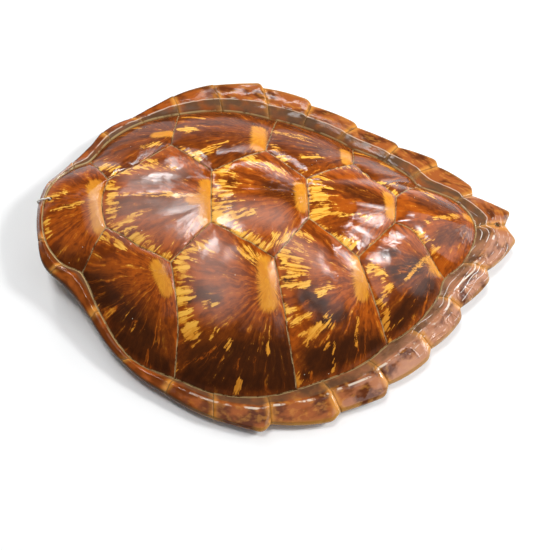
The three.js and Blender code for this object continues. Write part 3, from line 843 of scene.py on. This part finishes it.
horn_material, tree, surface = new_material("lacquered_horn")
broad = growth_rays(tree, angular=4.5, radial=2.6, detail=3.0, seed=0.0, ragged=0.10)
fine = growth_rays(tree, angular=13.0, radial=4.0, detail=4.0, seed=11.0, ragged=0.06)
hair = growth_rays(tree, angular=30.0, radial=6.0, detail=3.0, seed=23.0, ragged=0.03)
blots = cloud(growth_place(tree), 16.0, 3.0, 0.6)
tone = weighted_sum((broad, 0.35), (fine, 0.45), (blots, 0.2))
flame = times(ramp(fine, 0.56, 0.66), ramp(blots, 0.45, 0.6))
ember = times(ramp(fine, 0.54, 0.64), ramp(broad, 0.45, 0.6))
# The dark markings, and painted shade over the whole of the right costals
dark = times(attribute(tree, "dark"), calculate("MULTIPLY_ADD", ember, -0.85, 1.0))
comb = weighted_sum((fine, 1.8), (hair, 1.8), (blots, 1.1), (attribute(tree, "gold"), 0.66))
height = axes(object_place(tree))["Z"]
gold = blend_colours(ramp(hair, 0.42, 0.60), deep_gold_colour, gold_colour)
gold = coat_over(gold, (ramp(height, 0.050, 0.030), 0.8, amber_colour))
patch_tone = blend_colours(ramp(broad, 0.35, 0.65), amber_colour, deep_gold_colour)
patch_edge = calculate("MULTIPLY_ADD", fine, 1.4, attribute(tree, "patch"))
seam_tone = blend_colours(ramp(blots, 0.40, 0.54), seam_shade, seam_colour)
horn = blend_colours(ramp(tone, 0.41, 0.57), brown_colour, russet_colour)
fill(surface["Base Color"], coat_over(
    horn, (flame, 0.75, amber_colour), (dark, 0.88, black_colour),
    (ramp(comb, 2.78, 2.93), 0.75, amber_colour), (ramp(comb, 2.88, 3.03), 1.0, gold),
    (ramp(patch_edge, 0.85, 1.50), 1.0, patch_tone),
    # painted sheen: a pale haze standing in for the lamps' soft reflection
    (attribute(tree, "painted_sheen"), 0.28, painted_sheen_colour),
    (ramp(attribute(tree, "edge"), 0.75, 0.25), 0.65, seam_tone),
    (dust_specks(tree), 1.0, dust_colour)))
lacquer(tree, surface, hair, 0.3)


def stroke_mask(points, strokes, softness):
    """1 inside the strokes, falling to 0 over the softness outside them."""
    mask = np.zeros(len(points))
    for *ends, half_width in strokes:
        a, b = np.array(ends, float).reshape(2, 2)
        along = b - a
        t = np.clip((points - a) @ along / max(along @ along, 1e-6), 0, 1)
        away = lengths(points - a - np.outer(t, along))
        mask = np.maximum(mask, np.clip(1 - (away - half_width * 0.4) / (half_width * softness), 0, 1))
    return mask


def edge_distance(points, outline):
    """How far each point lies from the outline, in millimetres."""
    nearest = np.full(len(points), 1e9)
    for a, b in zip(outline, np.roll(outline, -1, axis=0)):
        along = b - a
        t = np.clip((points - a) @ along / max(along @ along, 1e-9), 0, 1)
        away = points - a - t[:, None] * along
        nearest = np.minimum(nearest, np.einsum("ij,ij->i", away, away))
    return np.sqrt(nearest)


def inset(outline, amount):
    before, after = np.roll(outline, 1, axis=0), np.roll(outline, -1, axis=0)
    tangent = after - before
    normal = np.stack((-tangent[:, 1], tangent[:, 0]), 1)
    return outline + normal / lengths(normal)[:, None] * amount


# Rings of vertices, closer together at the edge of a plate
top_shares = np.concatenate((np.linspace(0.025, 0.90, 36), [0.925, 0.945, 0.962, 0.976, 0.987, 0.995, 1.0]))
under_shares = np.array([1.0, 0.5])


def rings(outline, middle, shares):
    """The outline drawn together towards its middle, and the middle itself."""
    return np.concatenate([middle + (outline - middle) * share for share in shares] + [middle[None]])


def store_growth(mesh, offsets):
    """Keeps each vertex's place from the growth centre, in decimetres, as a UV map."""
    layer = mesh.uv_layers.new(name="growth")
    corner_vertices = np.empty(len(mesh.loops), np.int32)
    mesh.loops.foreach_get("vertex_index", corner_vertices)
    layer.data.foreach_set("uv", (offsets / 100.0)[corner_vertices].astype(np.float32).ravel())


def dome_scute(name, plate):
    outline = inset(outlines[name], seam_gap / 2)
    around = len(outline)
    middle = outline.mean(axis=0)
    keel = 0
    if name.startswith("vertebral"):
        middle[1] = keel_y
    points, under = (rings(outline, middle, shares) for shares in (top_shares, under_shares))
    x, y = points.T
    if name.startswith("vertebral"):
        keel = (keel_relief * hump(y - keel_y, keel_half_width)
                + ridge_relief * hump(y - keel_y, ridge_half_width))
    shares = np.concatenate((np.repeat(top_shares, around), [0]))
    to_edge = edge_distance(points, outline)
    marks = growth[name]
    growth_centre = np.array(marks["centre"], float)
    from_centre = lengths(points - growth_centre)
    swell = patch_swell * hump(from_centre, patch_swell_width)
    rise = ((scute_relief[name.split("_")[0]] + keel) * (1 - shares ** 4)
            + swell * np.clip(to_edge / relief_margin, 0, 1))
    for amount, length, seed in scute_waves:
        rise = rise + amount * wavy(points, length, plate + seed)
    rise = rise - edge_round * hump(to_edge, edge_round_width)
    outside = np.column_stack((points, dome_height(x, y) + rise))
    inside = np.column_stack((under, dome_height(*under.T) - scute_thickness))
    vertices = np.concatenate((outside[:-1], inside[:-1], outside[-1:], inside[-1:]))
    faces = capped_faces(len(top_shares) + len(under_shares), around)
    piece = mesh_object(f"{name}_horn", vertices, faces, horn_material)
    mesh, plan = piece.data, vertices[:, :2]
    store(mesh, "edge", np.concatenate((to_edge[:-1], np.zeros(len(inside) - 1), to_edge[-1:], [far_off])))
    for label, strokes, softness in (("gold", marks["gold"], 1.8), ("patch", marks["patch"], 0.9),
                                     ("wrinkled", wrinkled_lacquer, 2.0), ("painted_sheen", painted_sheen_strokes, 1.8)):
        store(mesh, label, stroke_mask(plan, strokes, softness))
    darkness = stroke_mask(plan, marks["dark"], 1.3) * (1.0 if "left" in name else 0.7)
    # Every right costal is darkened by at least half: painted shade over the far side of the dome.
    store(mesh, "dark", np.maximum(darkness, 0.50 if "right" in name else 0.0))
    store(mesh, "plate", np.full(len(vertices), plate))
    store_growth(mesh, plan - growth_centre)
    return piece


for plate, name in enumerate(sorted(outlines), 1):
    piece = dome_scute(name, plate)
    if name == "vertebral_scute_1":
        drill(piece, string_hole)
    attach(piece, "root")
    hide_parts(name)

# ---- The rim's scutes ----
# Twelve marginals on each side and the narrow nuchal over the neck, of the same horn, folded
# round the edge of the bone like a hem. They are paler than the dome, their thin outer edge is
# painted olive as a glow of light through it, and from the sixth to the last each ends in a rounded saw
# tooth.
tooth_lift, tooth_lift_start, under_lift = 1.0, 0.55, 0.6
edge_thinning, edge_turn_radius = 0.2, 1.6
rim_waves = ((0.30, 14.0, 0.0), (0.14, 5.0, 30.0))
crest_wave, crest_wave_length = 0.6, 7.0
rim_edge_round = 0.4
rim_plate_step = 3.7
rim_rows_over = np.array([0, 0.015, 0.04, 0.08, 0.13, 0.19, 0.25, 0.30, 0.34, 0.37, 0.395, 0.42, 0.445,
                          0.47, 0.50, 0.55, 0.62, 0.70, 0.78, 0.85, 0.91, 0.95])
edge_turns = np.linspace(0, math.pi, 7)
rim_rows_under = np.array([0.9, 0.75, 0.6, 0.5])

rim_material, tree, surface = new_material("lacquered_rim_horn")
parts = axes(growth_place(tree))
stretched = new_node(tree, "ShaderNodeCombineXYZ", X=times(parts["X"], 3.0),
                     Y=times(parts["Y"], 5.0), Z=attribute(tree, "plate")).outputs["Vector"]
smoke, streak = cloud(stretched, 1.6, 3.0), cloud(stretched, 4.5)
along, out = attribute(tree, "along"), attribute(tree, "out")
rim_brown = (0.34, 0.092, 0.022, 1)
rim_dark = (0.11, 0.028, 0.009, 1)
rim_amber = (0.68, 0.29, 0.05, 1)
rim_edge_glow_colour = (0.46, 0.26, 0.05, 1)
rim_sheen_colour = (0.50, 0.25, 0.15, 1)
rim_lip_shade_colour = (0.045, 0.014, 0.005, 1)
rim_slope_shade_colour = (0.125, 0.068, 0.036, 1)
rim_wear_and_glint_colour = (0.76, 0.65, 0.52, 1)
rim_russet = (0.17, 0.036, 0.005, 1)
rim_flame = (0.36, 0.080, 0.010, 1)
rim_seam = (0.34, 0.20, 0.07, 1)
rim_crease_glint_colour = (0.86, 0.80, 0.74, 1)
place = object_place(tree)
parts = axes(place)
towards_head, towards_tail = ramp(parts["X"], -0.03, -0.13), ramp(parts["X"], 0.01, 0.10)
far_side, near_side = ramp(parts["Y"], -0.01, 0.01), ramp(parts["Y"], 0.01, -0.01)
from_crest, wrinkled = attribute(tree, "from_crest"), attribute(tree, "wrinkled")
off_crest = calculate("ABSOLUTE", from_crest)
# Painted sheen on the near side towards the tail, where the plates face the lamps.
near_tail_sheen = times(times(towards_tail, near_side), ramp(smoke, 0.34, 0.55))
flame = blend_colours(ramp(smoke, 0.44, 0.60), rim_russet, rim_flame)
ends = calculate("ADD", ramp(along, 0.12, 0.0), ramp(along, 0.85, 0.97), clamp=True)
glow = times(ends, ramp(smoke, 0.30, 0.52))
# Painted glow: the thin outer edge turns olive, as if light shone through the horn.
edge_glow = times(ramp(out, 0.86, 1.0), ramp(smoke, 0.3, 0.55))
# Painted shade: the inner slope from the gutter up to the crest is greyed, more on the far side.
inside_crest = ramp(calculate("MULTIPLY_ADD", near_side, 3.0, from_crest), 0.5, -1.5)
inner_slope_shade = times(inside_crest, ramp(smoke, 0.85, 0.40))
inner_slope_shade = times(inner_slope_shade, calculate("MULTIPLY_ADD", near_side, -0.20, 0.9))
# Painted shade on the outer lip towards the head, which turns down away from the light.
lip_shade = times(ramp(out, 0.75, 0.97), towards_head)
# Pale lines along the crest: partly real wear, partly a painted highlight where the crest catches the
# lamps.
scuffs = cloud(place, 60.0, 3.0, 0.65)
near_crest_wear_and_glint = times(ramp(off_crest, 1.5, 0.5), ramp(scuffs, 0.49, 0.57))
near_crest_wear_and_glint = times(near_crest_wear_and_glint, calculate("MULTIPLY_ADD", towards_head, -0.70, 0.75))
near_crest_wear_and_glint = times(near_crest_wear_and_glint, near_side)
patchy = ramp(scuffs, 0.34, 0.48)
far_crest_wear_and_glint = times(times(ramp(off_crest, 0.9, 0.4), patchy), times(far_side, 0.48))
gutter_line = times(ramp(attribute(tree, "from_gutter"), 1.5, 0.8), patchy)
# Painted highlights: thin pale lines where the folds of the wrinkled lacquer catch the lamps.
crease_glints = calculate("MULTIPLY_ADD", cloud(place, 26.0, 1.5), 16.0, from_crest)
crease_glints = ramp(calculate("PINGPONG", crease_glints, 3.2), 0.50, 0.20)
crease_glints = times(times(crease_glints, ramp(scuffs, 0.47, 0.56)), wrinkled)
horn = blend_colours(ramp(smoke, 0.36, 0.56), rim_dark, rim_brown)
fill(surface["Base Color"], coat_over(
    horn, (ramp(streak, 0.50, 0.70), 0.35, rim_amber), (near_tail_sheen, 0.62, rim_sheen_colour),
    (towards_head, 0.92, flame), (glow, 0.75, rim_amber), (edge_glow, 0.6, rim_edge_glow_colour),
    (inner_slope_shade, 1.0, rim_slope_shade_colour), (lip_shade, 0.85, rim_lip_shade_colour),
    (calculate("MAXIMUM", near_crest_wear_and_glint, far_crest_wear_and_glint), 1.0, rim_wear_and_glint_colour),
    (gutter_line, 0.8, seam_colour), (crease_glints, 0.8, rim_crease_glint_colour),
    (ramp(attribute(tree, "edge"), 0.65, 0.25), 0.6, rim_seam)))
lacquer(tree, surface, smoke, 1.2)


def rim_scute(name, inner, outer, plate):
    """A plate from its columns, folded round the edge of the bone."""
    width, peak, top, bottom = rim_profile(inner, outer)
    count = len(inner)
    steps = sum(lengths(np.diff(line, axis=0)) / 2 for line in (inner, outer))
    run = np.concatenate(([0], np.cumsum(steps)))
    along = run / run[-1]
    # The first and last columns stand back by half the gap between two plates
    for line in (inner, outer):
        for end, beside in ((0, 1), (-1, -2)):
            step = line[beside] - line[end]
            line[end] = line[end] + step / max(np.linalg.norm(step), 1e-6) * seam_gap / 2
    edge_gap = np.minimum(run, run[-1] - run)
    nose = 1 - np.minimum(bone_nose, nose_share * width) / width
    lift = tooth_lift * np.clip((along - tooth_lift_start) / (1 - tooth_lift_start), 0, 1) ** 2
    start = seam_gap / 2 / width
    outside, inside, outs, edges = [], [], [], []

    def add_row(t, z, t_inside, z_inside, edge):
        outside.append(rim_row(inner, outer, t, z))
        inside.append(rim_row(inner, outer, t_inside, z_inside))
        outs.append(np.broadcast_to(t, (count,)))
        edges.append(edge)

    # Over the top, with the crest moved to where this side has it
    for share in rim_rows_over:
        moved = np.where(share < crest_place, share / crest_place * peak,
                         1 - (1 - share) / (1 - crest_place) * (1 - peak))
        t = np.maximum(moved, start)
        seam_edge = np.minimum(edge_gap, (t - start) * width)
        plan = inner + (outer - inner) * t[:, None]
        on_crest = hump((t - peak) * width, crest_lip_width)
        uneven = sum(amount * wavy(plan, length, plate + seed) for amount, length, seed in rim_waves)
        uneven = uneven + crest_wave * wavy(plan, crest_wave_length, plate + 60.0) * on_crest
        uneven = uneven * np.clip(seam_edge / relief_margin, 0, 1)
        round_off = rim_edge_round * hump(seam_edge, edge_round_width)
        t_inside = np.minimum(t, nose)
        add_row(t, top(t) + lift * t + uneven - round_off, t_inside, top(t_inside) - scute_thickness,
                seam_edge)
    # Round the outer edge, then back under it to the lip
    edge_top, edge_bottom = top(1.0) + lift - edge_thinning, bottom(1.0) + lift * under_lift
    radius = np.minimum((edge_top - edge_bottom) / 2, edge_turn_radius)
    low, high = bottom(nose) + scute_thickness, top(nose) - scute_thickness
    for turn in edge_turns:
        t = 1 - radius * (1 - math.sin(turn)) / width * 0.9
        z = (edge_top + edge_bottom) / 2 + (edge_top - edge_bottom) / 2 * math.cos(turn)
        add_row(t, z, nose, high + (low - high) * turn / math.pi, edge_gap)
    for share in rim_rows_under:
        t_inside = np.minimum(share, nose)
        z = bottom(share) + lift * under_lift * np.clip((share - 0.5) / 0.5, 0, 1)
        add_row(share, z, t_inside, bottom(t_inside) + scute_thickness, edge_gap)
    add_row(lip_end, bottom(lip_end), lip_end, bottom(lip_end) + scute_thickness, edge_gap)

    rows = outside + inside[::-1]
    row_count = len(rows)
    vertices = np.concatenate(rows)
    faces = grid_faces(row_count, count)
    last_row = (row_count - 1) * count
    faces += [(column + 1, column, last_row + column, last_row + column + 1) for column in range(count - 1)]
    for column in (0, count - 1):
        for row in range(row_count // 2 - 1):
            far = row_count - 1 - row
            faces.append(tuple(r * count + column for r in (row, row + 1, far - 1, far)))
    piece = mesh_object(f"{name}_horn", vertices, faces, rim_material)
    mesh = piece.data
    hidden = np.full(row_count // 2 * count, far_off)
    outs = np.concatenate(outs + outs[::-1])
    from_gutter = outs * np.tile(width, row_count)
    seen = len(hidden)
    from_crest = from_gutter[:seen] - np.tile(peak * width, row_count // 2)
    store(mesh, "out", outs)
    for label, values in (("edge", np.concatenate(edges)), ("from_crest", from_crest),
                          ("from_gutter", from_gutter[:seen])):
        store(mesh, label, np.concatenate((values, hidden)))
    store(mesh, "along", np.tile(along, row_count))
    store(mesh, "plate", np.full(len(vertices), plate * rim_plate_step))
    store(mesh, "wrinkled", stroke_mask(vertices[:, :2], wrinkled_lacquer, 2.0))
    store_growth(mesh, np.stack((np.tile(run, row_count), from_gutter), 1))
    return piece


rim_plates = [("nuchal_scute", *nuchal_columns())]
for side in ("left", "right"):
    for number in range(1, marginal_count + 1):
        rim_plates.append((f"marginal_scute_{side}_{number}", *marginal_columns(side, number)))
for plate, (name, inner, outer) in enumerate(rim_plates, 1):
    piece = rim_scute(name, inner, outer, plate)
    if name.endswith("_12"):
        drill(piece, tail_hole)
    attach(piece, "root")
    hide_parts(name)

# ---- The string ----
# A snug loop of white cotton string, three strands laid together, down through the hole over
# the neck and back round the front edge, to hang the shell by.
string_path = [
    (-229.9, 8.2, 46.2), (-233.5, 8.6, 44.6), (-238.5, 9.0, 42.4), (-241.72, 9.3, 39.6),
    (-241.88, 9.3, 35.6), (-239.5, 9.0, 31.9), (-234.5, 8.6, 30.6), (-230.5, 8.2, 31.6),
    (-229.6, 8.0, 35.0), (-229.4, 8.0, 43.0),
]
strand_radius = 0.36
strand_offset = 0.40
strand_turns = 22
string_samples = 260
clean_cotton, grimy_cotton = (0.90, 0.88, 0.82, 1), (0.68, 0.62, 0.52, 1)
string_material, tree, surface = new_material("white_string")
place = object_place(tree)
fuzz = cloud(place, 900.0, 3.0)
grime = ramp(cloud(place, 90.0), 0.4, 0.7)
cotton = blend_colours(grime, clean_cotton, grimy_cotton)
fill_all(surface, Base_Color=cotton, Roughness=0.85, Normal=bumps(fuzz, 0.6, 0.0002))

route_data = bpy.data.curves.new("string_route", "CURVE")
route_data.dimensions = "3D"
spline = route_data.splines.new("BEZIER")
spline.bezier_points.add(len(string_path) - 1)
for bezier, point in zip(spline.bezier_points, string_path):
    bezier.co = Vector(point) * mm
    bezier.handle_left_type = bezier.handle_right_type = "AUTO"
spline.use_cyclic_u = True
string = add_object("string_loop_cotton", route_data)

laying = bpy.data.node_groups.new("laid_string", "GeometryNodeTree")
laying.interface.new_socket("Geometry", in_out="INPUT", socket_type="NodeSocketGeometry")
for label, kind in (("Strand radius", "NodeSocketFloat"), ("Strand offset", "NodeSocketFloat"),
                    ("Turns", "NodeSocketFloat"), ("Material", "NodeSocketMaterial")):
    laying.interface.new_socket(label, in_out="INPUT", socket_type=kind)
laying.interface.new_socket("Geometry", in_out="OUTPUT", socket_type="NodeSocketGeometry")
given = laying.nodes.new("NodeGroupInput").outputs
outputs = laying.nodes.new("NodeGroupOutput")
evenly = new_node(laying, "GeometryNodeResampleCurve", Curve=given["Geometry"], Count=string_samples)
tangent = laying.nodes.new("GeometryNodeInputTangent").outputs[0]
outward = vector_maths("NORMALIZE", vector_maths("CROSS_PRODUCT", tangent, (0.0, 1.0, 0.0)))
travelled = laying.nodes.new("GeometryNodeSplineParameter").outputs["Factor"]
join = laying.nodes.new("GeometryNodeJoinGeometry")
for strand in range(3):
    angle = calculate("MULTIPLY_ADD", travelled, times(given["Turns"], 2 * math.pi),
                      strand * 2 * math.pi / 3)
    lift, slide = (times(calculate(wave, angle), given["Strand offset"]) for wave in ("COSINE", "SINE"))
    sideways = new_node(laying, "ShaderNodeCombineXYZ", Y=slide).outputs["Vector"]
    moved = new_node(laying, "GeometryNodeSetPosition", Geometry=evenly.outputs["Curve"],
                     Offset=vector_maths("MULTIPLY_ADD", outward, lift, sideways))
    circle = new_node(laying, "GeometryNodeCurvePrimitiveCircle", Resolution=8)
    fill(circle.inputs["Radius"], given["Strand radius"])
    tube = new_node(laying, "GeometryNodeCurveToMesh", Curve=moved.outputs["Geometry"],
                    Profile_Curve=circle.outputs["Curve"])
    laying.links.new(tube.outputs["Mesh"], join.inputs["Geometry"])
real = new_node(laying, "GeometryNodeRealizeInstances", Geometry=join.outputs["Geometry"])
smooth = new_node(laying, "GeometryNodeSetShadeSmooth", Geometry=real.outputs["Geometry"])
painted = new_node(laying, "GeometryNodeSetMaterial", Geometry=smooth.outputs["Geometry"],
                   Material=given["Material"])
laying.links.new(painted.outputs["Geometry"], outputs.inputs["Geometry"])
twist = string.modifiers.new("laid_string", "NODES")
twist.node_group = laying
sockets = {item.name: item.identifier for item in laying.interface.items_tree if item.in_out == "INPUT"}
twist[sockets["Strand radius"]] = strand_radius * mm
twist[sockets["Strand offset"]] = strand_offset * mm
twist[sockets["Turns"]] = float(strand_turns)
twist[sockets["Material"]] = string_material
depsgraph = bpy.context.evaluated_depsgraph_get()
string_mesh = bpy.data.meshes.new_from_object(string.evaluated_get(depsgraph))
bpy.data.objects.remove(string)
string = add_object("string_loop_cotton", string_mesh)
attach(string, "root")
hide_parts("string_loop")
